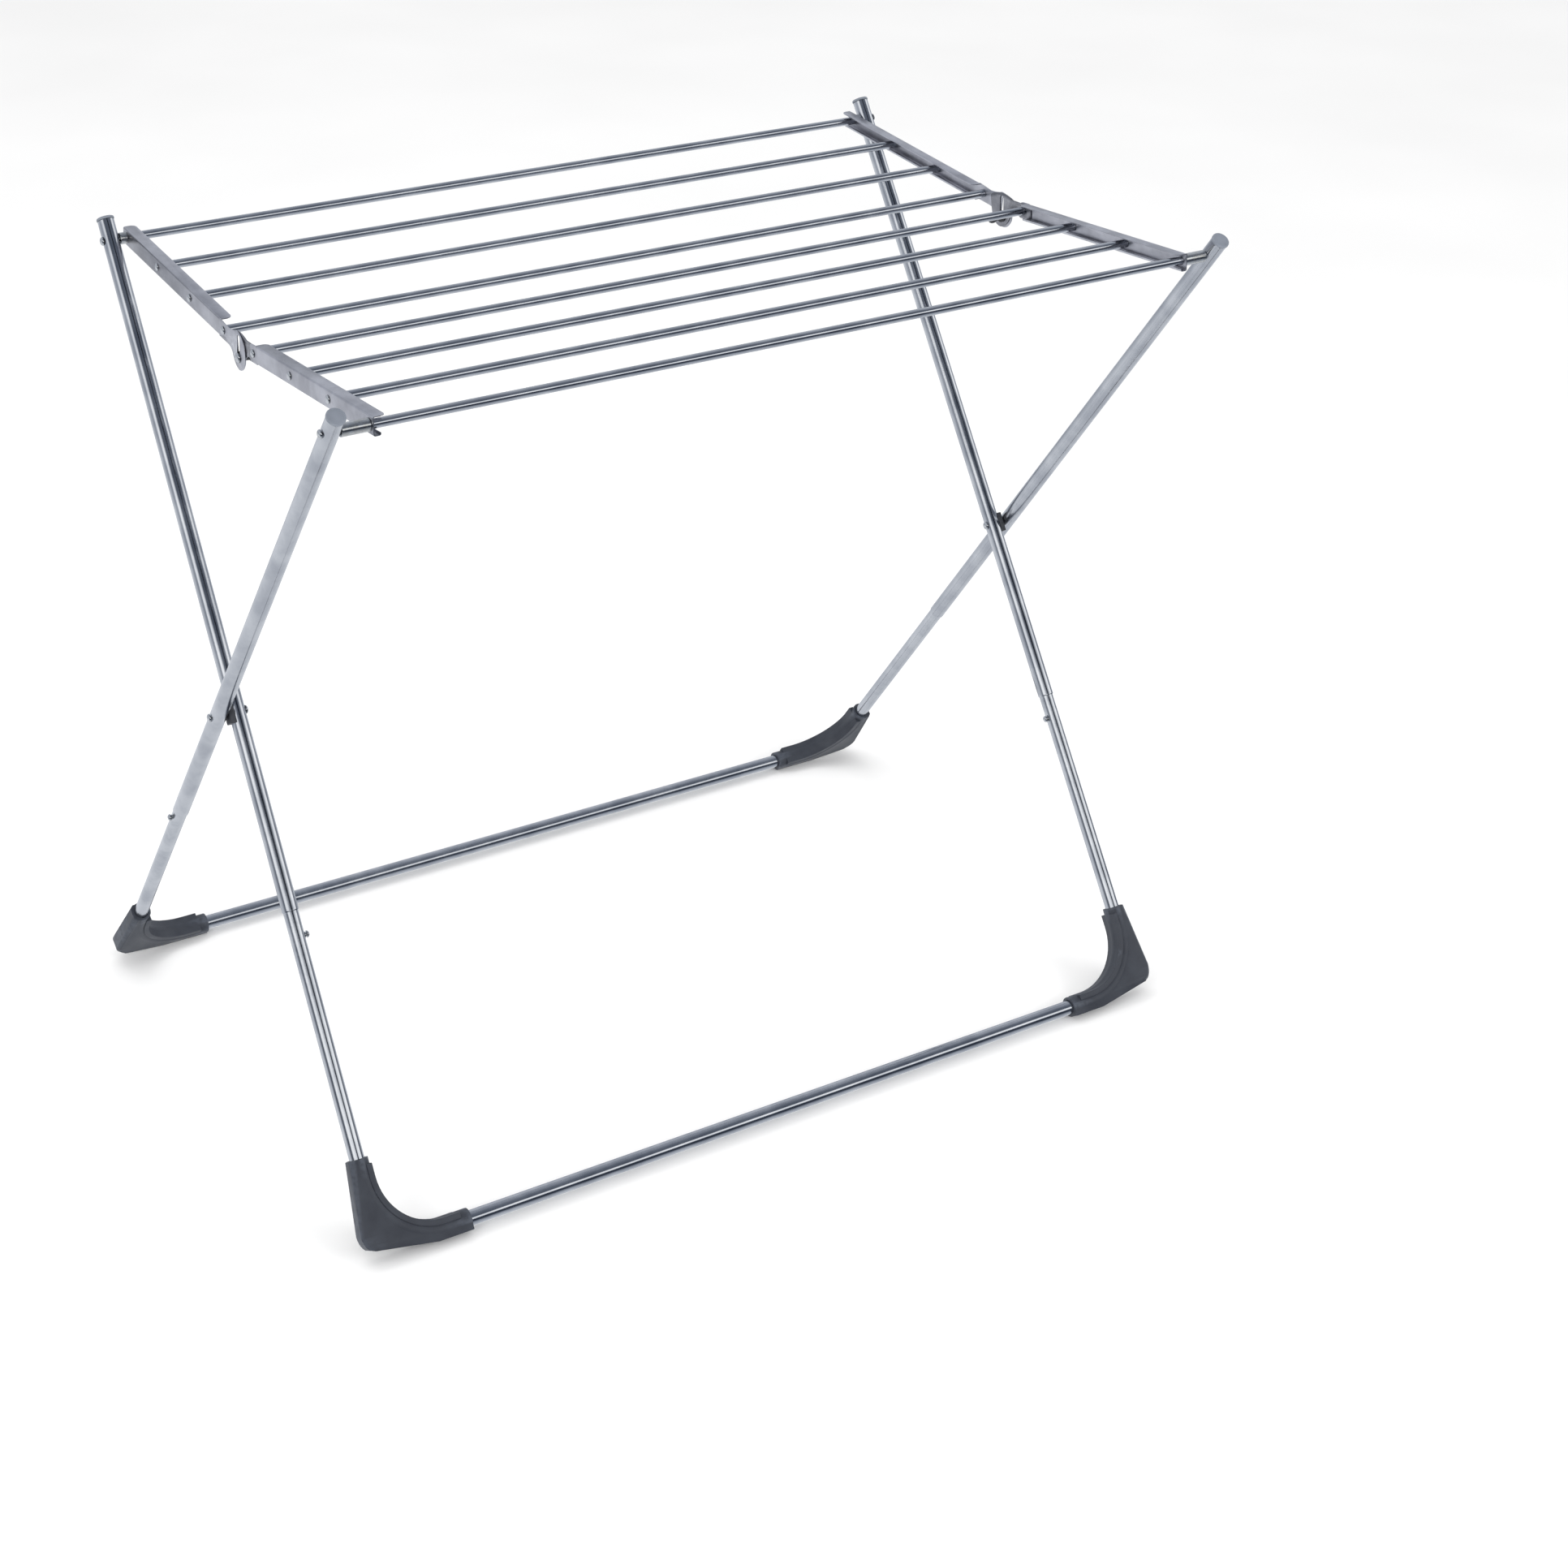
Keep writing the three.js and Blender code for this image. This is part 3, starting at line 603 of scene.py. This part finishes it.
def buildCrossing():
    inside, outside = innerX - tube["legRadius"] - tube["gap"], outerX + tube["legRadius"] + tube["gap"]
    outerHead = domeProfile(outside, boltSizes["head"], boltSizes["rise"])
    innerHead = [(inside - h, r) for h, r in reversed(domeProfile(0, boltSizes["head"], boltSizes["rise"]))]
    shank = [(inside, boltSizes["shank"]), (outside, boltSizes["shank"])]
    rivet = turnedPiece("crossRivetBlank", innerHead + shank + outerHead, 36)
    for tag, side in sides.items():
        placeFastener(rivet, "crossRivet_" + tag, "cross_rivet_" + tag, "inner_frame",
                      crossing.y, crossing.z, side)

    # saddle: a block with a trough that hugs the inner leg
    s = saddleSizes
    low, high = innerX + s["bite"], outerX - tube["legRadius"] - 0.35
    deselectAll()
    bpy.ops.mesh.primitive_cube_add(size=1, location=((low + high) / 2 * mm, 0, crossAt * mm),
                                    scale=((high - low) * mm, s["width"] * mm, s["height"] * mm))
    saddle = settle(bpy.context.view_layer.objects.active)
    startEdit(saddle, "EDGE")
    pickEdges(lambda a, b: abs(a.x - high) < 0.1 and abs(b.x - high) < 0.1)
    bpy.ops.mesh.bevel(offset=s["round"] * mm, segments=3, affect="EDGES")
    radius = tube["legRadius"] + tube["gap"]
    trough = turnedPiece("trough", [(crossAt - 30, radius), (crossAt + 30, radius)], tube["sides"])
    settle(trough, Matrix.Translation((innerX * mm, 0, 0)))
    joined(saddle, trough, "DIFFERENCE")
    closeUp(saddle)
    softened(saddle, s["edge"], 2)
    smoothed(settle(saddle, innerPlace))
    for tag, side in sides.items():
        finishPiece(copyOf(saddle, "crossSaddle_" + tag, flips[side]), "cross_saddle_" + tag, "inner_frame",
                    darkFinish)
    dropBlanks(rivet, saddle)


def buildTopPivot(label, legX, y, inner, body):
    face = legX + tube["legRadius"] + tube["gap"]
    shank = [(inner, boltSizes["shank"]), (face, boltSizes["shank"])]
    bolt = turnedPiece("boltBlank", shank + domeProfile(face, boltSizes["head"], boltSizes["rise"]), 36)
    low, high = webFace + tube["gap"], legX - tube["legRadius"] - tube["gap"]
    r, bore = boltSizes["sleeve"], boltSizes["sleeveBore"]
    profile = [(low + 4, bore), (low + 0.2, bore), (low, bore + 0.3), (low, r - 0.5), (low + 0.5, r)]
    profile += [(high - 0.5, r), (high, r - 0.5), (high, bore + 0.3), (high - 0.2, bore), (high - 3, bore)]
    sleeve = turnedPiece("sleeveBlank", profile, 40)
    for tag, side in sides.items():
        placeFastener(bolt, label + "PivotBolt_" + tag, "%s_pivot_bolt_%s" % (label, tag), body,
                      y, rearPivot.z, side)
        placeFastener(sleeve, label + "PivotSleeve_" + tag, "%s_pivot_sleeve_%s" % (label, tag), body,
                      y, rearPivot.z, side)
    dropBlanks(bolt, sleeve)


buildCrossing()
buildTopPivot("rear", innerX, rearPivot.y, webFace - boltSizes["reach"], "inner_frame")
buildTopPivot("front", outerX, -rearPivot.y, webFace + tube["gap"], "outer_frame")
print("pivots made")

armSizes = {"sheet": 1, "height": 20, "topFlange": 14, "lowFlange": 8, "lip": 3, "fold": 1.8, "overrun": 9,
            "flangeEnd": 269.9, "frontEnd": 284.9, "cutBack": 6, "edge": 0.22}
hingeSizes = {"slot": 3.3, "travel": 22.5, "slotWall": 3.8, "plateFrom": 2.3, "plateTo": 1.3,
              "plateEdge": 0.2}
pinLocal = rearPlace.inverted() @ Vector((0, hingePoint.y, hingePoint.z))
pinU, pinW = -pinLocal.y / mm, pinLocal.z / mm
lobeTop = pinW + hingeSizes["travel"] + 3 + hingeSizes["slotWall"]
railU = [(rails[0] - rail).length / mm for rail in rails[:4]]


def channelSection():
    # x across and w up: web on the outside, flanges turned in, a curled lower lip
    t, h, fold, x = armSizes["sheet"], armSizes["height"] / 2, armSizes["fold"], webFace
    lipX, lipW = x - armSizes["lowFlange"], armSizes["lip"] - h
    outer = [(x - armSizes["topFlange"], h)] + arc(x - fold, h - fold, fold, 90, 0, 5)
    outer += arc(x - fold, fold - h, fold, 0, -90, 5) + arc(lipX + fold, fold - h, fold, -90, -180, 4)
    inner = [(lipX, lipW), (lipX + t, lipW)] + arc(lipX + fold, fold - h, fold - t, 180, 270, 4)
    inner += arc(x - fold, fold - h, fold - t, -90, 0, 4) + arc(x - fold, h - fold, fold - t, 0, 90, 4)
    return outer + inner + [(x - armSizes["topFlange"], h - t)]


def slotOutline(u):
    r, low, high = hingeSizes["slot"], pinW, pinW + hingeSizes["travel"]
    return arc(u, high, r, 0, 180, 10) + arc(u, low, r, 180, 360, 10)


def lobeTail(points, u, w):
    # the round lower end that the lobe and the plate share
    points += bow(points[-1], (u + 13, w - 12.5), (u + 2, w - 13))
    points += bow(points[-1], (u - 9, w - 12), (u - 15, w))
    return points


def rearWeb():
    # flat web of the rear arm, which ends in the slotted teardrop lobe
    h, end, u, w = armSizes["height"] / 2, armSizes["flangeEnd"], pinU, pinW
    points = [(end - 3, -h), (end - 3, h), (end, h), (u - 27, h - 1.5)]
    points += bow(points[-1], (u - 15, h), (u - 7, lobeTop - 0.6))
    points += bow((u - 7, lobeTop - 0.6), (u + 4, lobeTop + 0.8), (u + 12, lobeTop - 7))
    points += bow(points[-1], (u + 19, lobeTop - 16), (u + 17.5, w))
    points = lobeTail(points, u, w)
    points += bow(points[-1], (u - 19, -h), (u - 27, -h))
    return [points, slotOutline(u)]


def frontWeb():
    h, start, end = armSizes["height"] / 2, armSizes["flangeEnd"], armSizes["frontEnd"]
    points = [(start - 3, -h), (start - 3, h), (end - 8, h)]
    points += bow((end - 8, h), (end, h), (end, h - 8))
    return [points + bow((end, -h + 3), (end, -h), (end - 3, -h), 4)]


def plateOutline():
    # flat plate inside the lobe, with a hole for the fourth rail and the same slot
    u, w, h, start = pinU, pinW, armSizes["height"] / 2, armSizes["flangeEnd"] - 8
    points = [(start, 2 - h), (start, h - 2), (u - 22, h - 1)]
    points += bow((u - 22, h - 1), (u - 12, lobeTop - 1), (u - 2, lobeTop))
    points += bow(points[-1], (u + 10, lobeTop - 0.4), (u + 19, h))
    points += bow((u + 19, h), (u + 21.4, h - 1), (u + 21, h - 4), 4)
    points += bow(points[-1], (u + 20, w + 10), (u + 17.5, w))
    points = lobeTail(points, u, w)
    points += bow(points[-1], (u - 19, 2 - h), (u - 26, 2 - h))
    hole = arc(railU[3], 0, tube["railRadius"] + tube["gap"], 0, 345, 23)
    return [points, hole, slotOutline(u)]


# flat outlines lie in local X-Y; this stands them up as (u, w) in the arm's Y-Z plane
standUp = Matrix(((0, 0, 1, 0), (1, 0, 0, 0), (0, 1, 0, 0), (0, 0, 0, 1)))
rearWay = Matrix.Diagonal((1, -1, 1, 1))  # the rear arm runs along -Y


def buildChannel(name, web):
    # straight channel, with the flat web carried on past the end of its flanges
    s = armSizes
    channel = prism(name, [channelSection()], 0, s["flangeEnd"] + s["overrun"])
    settle(channel, Matrix(((1, 0, 0, 0), (0, 0, 1, -s["overrun"] * mm), (0, 1, 0, 0), (0, 0, 0, 1))))
    closeUp(channel)
    plate = prism(name + "Web", web, webFace - s["sheet"], webFace)
    settle(plate, standUp)
    joined(channel, plate)
    closeUp(channel)
    # the top flange's free corners are cut back, as the folded sheet's are
    startEdit(channel, "EDGE")
    tip = webFace - s["topFlange"]
    pickEdges(lambda a, b: abs(a.x - tip) < 0.3 and abs(b.x - tip) < 0.3 and abs(a.y - b.y) < 0.1
              and abs(a.z - b.z) > 0.5)
    bpy.ops.mesh.bevel(offset=s["cutBack"] * mm, segments=6, affect="EDGES")
    deselectAll()
    softened(channel, s["edge"], 2, 40)
    return smoothed(channel, 35)


def buildArms():
    rear = buildChannel("rearArm", rearWeb())
    front = buildChannel("frontArm", frontWeb())
    plate = prism("hingePlate", plateOutline(), webFace - hingeSizes["plateFrom"],
                  webFace - hingeSizes["plateTo"])
    settle(plate, standUp)
    softened(plate, hingeSizes["plateEdge"], 2, 40)
    smoothed(plate, 35)
    for tag, side in sides.items():
        flip = flips[side]
        finishPiece(copyOf(rear, "rearArm_" + tag, rearPlace @ rearWay @ flip), "rear_arm_" + tag,
                    "rear_arms", armFinish)
        finishPiece(copyOf(front, "frontArm_" + tag, frontPlace @ flip), "front_arm_" + tag,
                    "front_arms", armFinish)
        finishPiece(copyOf(plate, "hingePlate_" + tag, frontPlace @ flip), "hinge_plate_" + tag,
                    "front_arms", plateFinishWithPaintedShade)
    dropBlanks(rear, front, plate)


railSizes = {"short": 1.3, "bore": 12, "rivetShank": 2, "rivetReach": 5.3, "rivetHead": 4.5, "rivetRise": 2.1}


def buildRails():
    # each rail: polished tube with a rolled rim and an open bore at both ends
    end, r, bore = webFace - railSizes["short"], tube["railRadius"], tube["railRadius"] - tube["wall"]
    deep = end - railSizes["bore"]
    half = [(end - 1, r), (end - 0.4, r), (end, r - 0.4), (end, bore + 0.2), (end - 0.2, bore), (deep, bore),
            (deep, bore * 0.03)]
    blank = turnedPiece("railBlank", [(-height, radius) for height, radius in reversed(half)] + half, 40)
    face = webFace + tube["gap"]
    shank = [(webFace - railSizes["rivetReach"], railSizes["rivetShank"]), (face, railSizes["rivetShank"])]
    head = domeProfile(face, railSizes["rivetHead"], railSizes["rivetRise"])
    rivet = turnedPiece("railRivetBlank", shank + head, 32)
    for n, centre in enumerate(rails, 1):
        body = "rear_arms" if n <= 4 else "front_arms"
        at = Matrix.Translation((0, centre.y, centre.z)) @ alongX
        finishPiece(copyOf(blank, "railTube_%d" % n, at), "rail_%d" % n, body, railFinish)
        if n in (1, 8):  # held by the top pivots' bolts
            continue
        for tag, side in sides.items():
            placeFastener(rivet, "railRivet_%d_%s" % (n, tag), "rail_rivet_%d_%s" % (n, tag), body,
                          centre.y, centre.z, side)
    dropBlanks(blank, rivet)


pinSizes = {"shank": 3, "head": 5.6, "rise": 3, "spigot": 2, "reach": 16, "step": 1.35}
knobSizes = {"length": 18, "from": 2.6, "grip": 6.4, "waist": 4.2, "flange": 7, "bore": 3}


def buildHinge():
    face, outside = webFace - pinSizes["step"], webFace + tube["gap"]
    spigot, shank = pinSizes["spigot"], pinSizes["shank"]
    profile = [(webFace - pinSizes["reach"], spigot), (face + 0.3, spigot)]
    profile += [(face + 0.3, shank), (outside, shank)]
    pin = turnedPiece("pinBlank", profile + domeProfile(outside, pinSizes["head"], pinSizes["rise"]), 36)
    k = knobSizes
    inner, low = webFace - k["from"], webFace - k["from"] - k["length"]
    # the grip's rounded end, its waist, and the flange that bears on the plate
    profile = [(low, 2.6), (low + 0.4, 4.2), (low + 1.4, 5.6), (low + 3, k["grip"] - 0.1)]
    profile += [(low + 5.6, k["grip"]), (low + 7.4, 5.6), (low + 9, 4.4), (inner - 3.6, k["waist"])]
    profile += [(inner - 2.2, 4.8), (inner - 2, 6.6), (inner - 1.6, k["flange"]), (inner - 0.3, k["flange"])]
    profile += [(inner, k["flange"] - 0.3), (inner, k["bore"]), (face, k["bore"])]
    profile += [(face, 2.3), (face - 2, 2.3)]
    knob = turnedPiece("knobBlank", profile, 36)
    for tag, side in sides.items():
        placeFastener(pin, "hingePin_" + tag, "hinge_pin_" + tag, "hinge_pins",
                      hingePoint.y, hingePoint.z, side)
        placeFastener(knob, "hingeKnob_" + tag, "hinge_knob_" + tag, "hinge_knobs",
                      hingePoint.y, hingePoint.z, side, darkFinish)
    dropBlanks(pin, knob)


buildArms()
buildRails()
buildHinge()
print("arms, rails and hinge made")


def buildFloor():
    deselectAll()
    bpy.ops.mesh.primitive_plane_add(size=30, location=(0, 0, -0.0005))
    floor = bpy.context.view_layer.objects.active
    floor.name = "studioFloor"
    # Matt white floor paint: even, with a hardly visible change of shade over about a metre.
    material, tree, shader, local = newMaterial("matt white studio floor",
                                                {"Roughness": 0.9, "Specular IOR Level": 0.1})
    patch = addNode(tree, "ShaderNodeTexNoise", {"Scale": 1.5}, {"Vector": local})
    tint = addNode(tree, "ShaderNodeValToRGB", {"stops": [(0.3, "#f1f1f1"), (0.7, "#f5f5f5")]},
                   {"Fac": patch.outputs["Fac"]})
    tree.links.new(tint.outputs["Color"], shader.inputs["Base Color"])
    floor.data.materials.append(material)
    floor.visible_glossy = False  # the polished tubes reflect the dim room below the horizon instead


lightSettings = {"key": {"at": (1.9, -3.4, 2.1), "size": (2.4, 0.8), "power": 45},
                 "left": {"at": (-3.2, -1.9, 1.6), "size": (0.7, 2.2), "power": 35},
                 "top": {"at": (-0.4, 1.6, 3.4), "size": (3.0, 1.4), "power": 25}}
# the room that the metal sees: front and back by height, from straight down (0) to straight up (1), and on the
# front half a dark flag by bearing, from 0 to 1 the whole way round
roomSettings = {"front": [(0.0, "#c4c7cc"), (1.0, "#6d737e"), (0.2, "#9aa0a9"), (0.36, "#39404c"),
                          (0.54, "#2a303b"), (0.6, "#8a909a"), (0.625, "#ffffff"), (0.73, "#f2f4f6"),
                          (0.79, "#4a515d")],
                "back": [(0.0, "#c4c7cc"), (1.0, "#7d838e"), (0.3, "#cdd0d5"), (0.5, "#9ba0a8"),
                         (0.7, "#b9bdc4")],
                "flag": [(0.0, "#ffffff"), (1.0, "#ffffff"), (0.475, "#ffffff"), (0.495, "#39404d"),
                         (0.53, "#39404d"), (0.55, "#ffffff")],
                "strength": 1.35, "plain": 1.0}


def buildLights():
    for name, s in lightSettings.items():
        light = bpy.data.lights.new(name + "Softbox", "AREA")
        light.shape = "RECTANGLE"
        light.size, light.size_y = s["size"]
        light.energy = s["power"]
        lamp = bpy.data.objects.new(name + "Softbox", light)
        bpy.context.collection.objects.link(lamp)
        lamp.location = s["at"]
        lamp.visible_glossy = False  # the metal's highlights come from the room
        lamp.rotation_euler = (Vector((0, 0, 0.55)) - Vector(s["at"])).to_track_quat("-Z", "Y").to_euler()


def buildRoom():
    # plain white to the eye and for the light, and the room above for mirror-like surfaces
    world = bpy.data.worlds.new("studio")
    bpy.context.scene.world = world
    world.use_nodes = True
    tree = world.node_tree
    tree.nodes.clear()
    coords = addNode(tree, "ShaderNodeTexCoord")
    way = addNode(tree, "ShaderNodeSeparateXYZ", None, {"Vector": coords.outputs["Generated"]})
    height = addNode(tree, "ShaderNodeMapRange", {"From Min": -1.0, "From Max": 1.0},
                     {"Value": way.outputs["Z"]})
    behind = addNode(tree, "ShaderNodeMapRange", {"From Min": -0.25, "From Max": 0.2},
                     {"Value": way.outputs["Y"]})
    ahead = addNode(tree, "ShaderNodeMath", {"operation": "MULTIPLY", 1: -1.0}, {0: way.outputs["Y"]})
    around = addNode(tree, "ShaderNodeMath", {"operation": "ARCTAN2"},
                     {0: way.outputs["X"], 1: ahead.outputs[0]})
    bearing = addNode(tree, "ShaderNodeMapRange", {"From Min": -pi, "From Max": pi},
                      {"Value": around.outputs[0]})
    front, back, flag = (addNode(tree, "ShaderNodeValToRGB", {"stops": roomSettings[key]},
                                 {"Fac": source.outputs["Result"]})
                         for key, source in (("front", height), ("back", height), ("flag", bearing)))
    shaded = addNode(tree, "ShaderNodeMixRGB", {"blend_type": "MULTIPLY", "Fac": 1.0},
                     {"Color1": front.outputs["Color"], "Color2": flag.outputs["Color"]})
    room = addNode(tree, "ShaderNodeMixRGB", None, {"Fac": behind.outputs["Result"],
                                                    "Color1": shaded.outputs["Color"],
                                                    "Color2": back.outputs["Color"]})
    seen = addNode(tree, "ShaderNodeBackground", {"Strength": roomSettings["strength"]},
                   {"Color": room.outputs["Color"]})
    plain = addNode(tree, "ShaderNodeBackground", {"Color": (1, 1, 1, 1), "Strength": roomSettings["plain"]})
    path = addNode(tree, "ShaderNodeLightPath")
    both = addNode(tree, "ShaderNodeMixShader", None, {"Fac": path.outputs["Is Glossy Ray"],
                                                       1: plain.outputs[0], 2: seen.outputs[0]})
    addNode(tree, "ShaderNodeOutputWorld", None, {"Surface": both.outputs[0]})
    bpy.context.scene.view_settings.view_transform = "Standard"


# focal length and centre belong to a frame 1932 wide; angles in degrees, target and distance in metres
cameraSettings = {"focal": 3406.0, "frameWidth": 1932.0, "centre": (666.9, 526.8), "azimuth": -29.19,
                  "elevation": 22.5, "roll": 0.26, "target": (0.05505, 0.34425, 0.5991), "distance": 3.5355}


def buildCamera():
    s = cameraSettings
    a, e, roll = (radians(s[key]) for key in ("azimuth", "elevation", "roll"))
    look = Vector((-sin(a) * cos(e), cos(a) * cos(e), -sin(e)))
    right = Vector((cos(a), sin(a), 0))
    up = right.cross(look)
    right, up = right * cos(roll) + up * sin(roll), up * cos(roll) - right * sin(roll)
    data = bpy.data.cameras.new("studioCamera")
    data.sensor_width = 36
    data.lens = s["focal"] / s["frameWidth"] * 36
    data.shift_x = 0.5 - s["centre"][0] / s["frameWidth"]
    data.shift_y = s["centre"][1] / s["frameWidth"] - 0.5
    camera = bpy.data.objects.new("studioCamera", data)
    bpy.context.collection.objects.link(camera)
    turn = Matrix((right, up, -look)).transposed().to_4x4()
    camera.matrix_world = Matrix.Translation(Vector(s["target"]) - look * s["distance"]) @ turn
    bpy.context.scene.camera = camera


buildFloor()
buildLights()
buildRoom()
buildCamera()
print("stage made")

deselectAll()
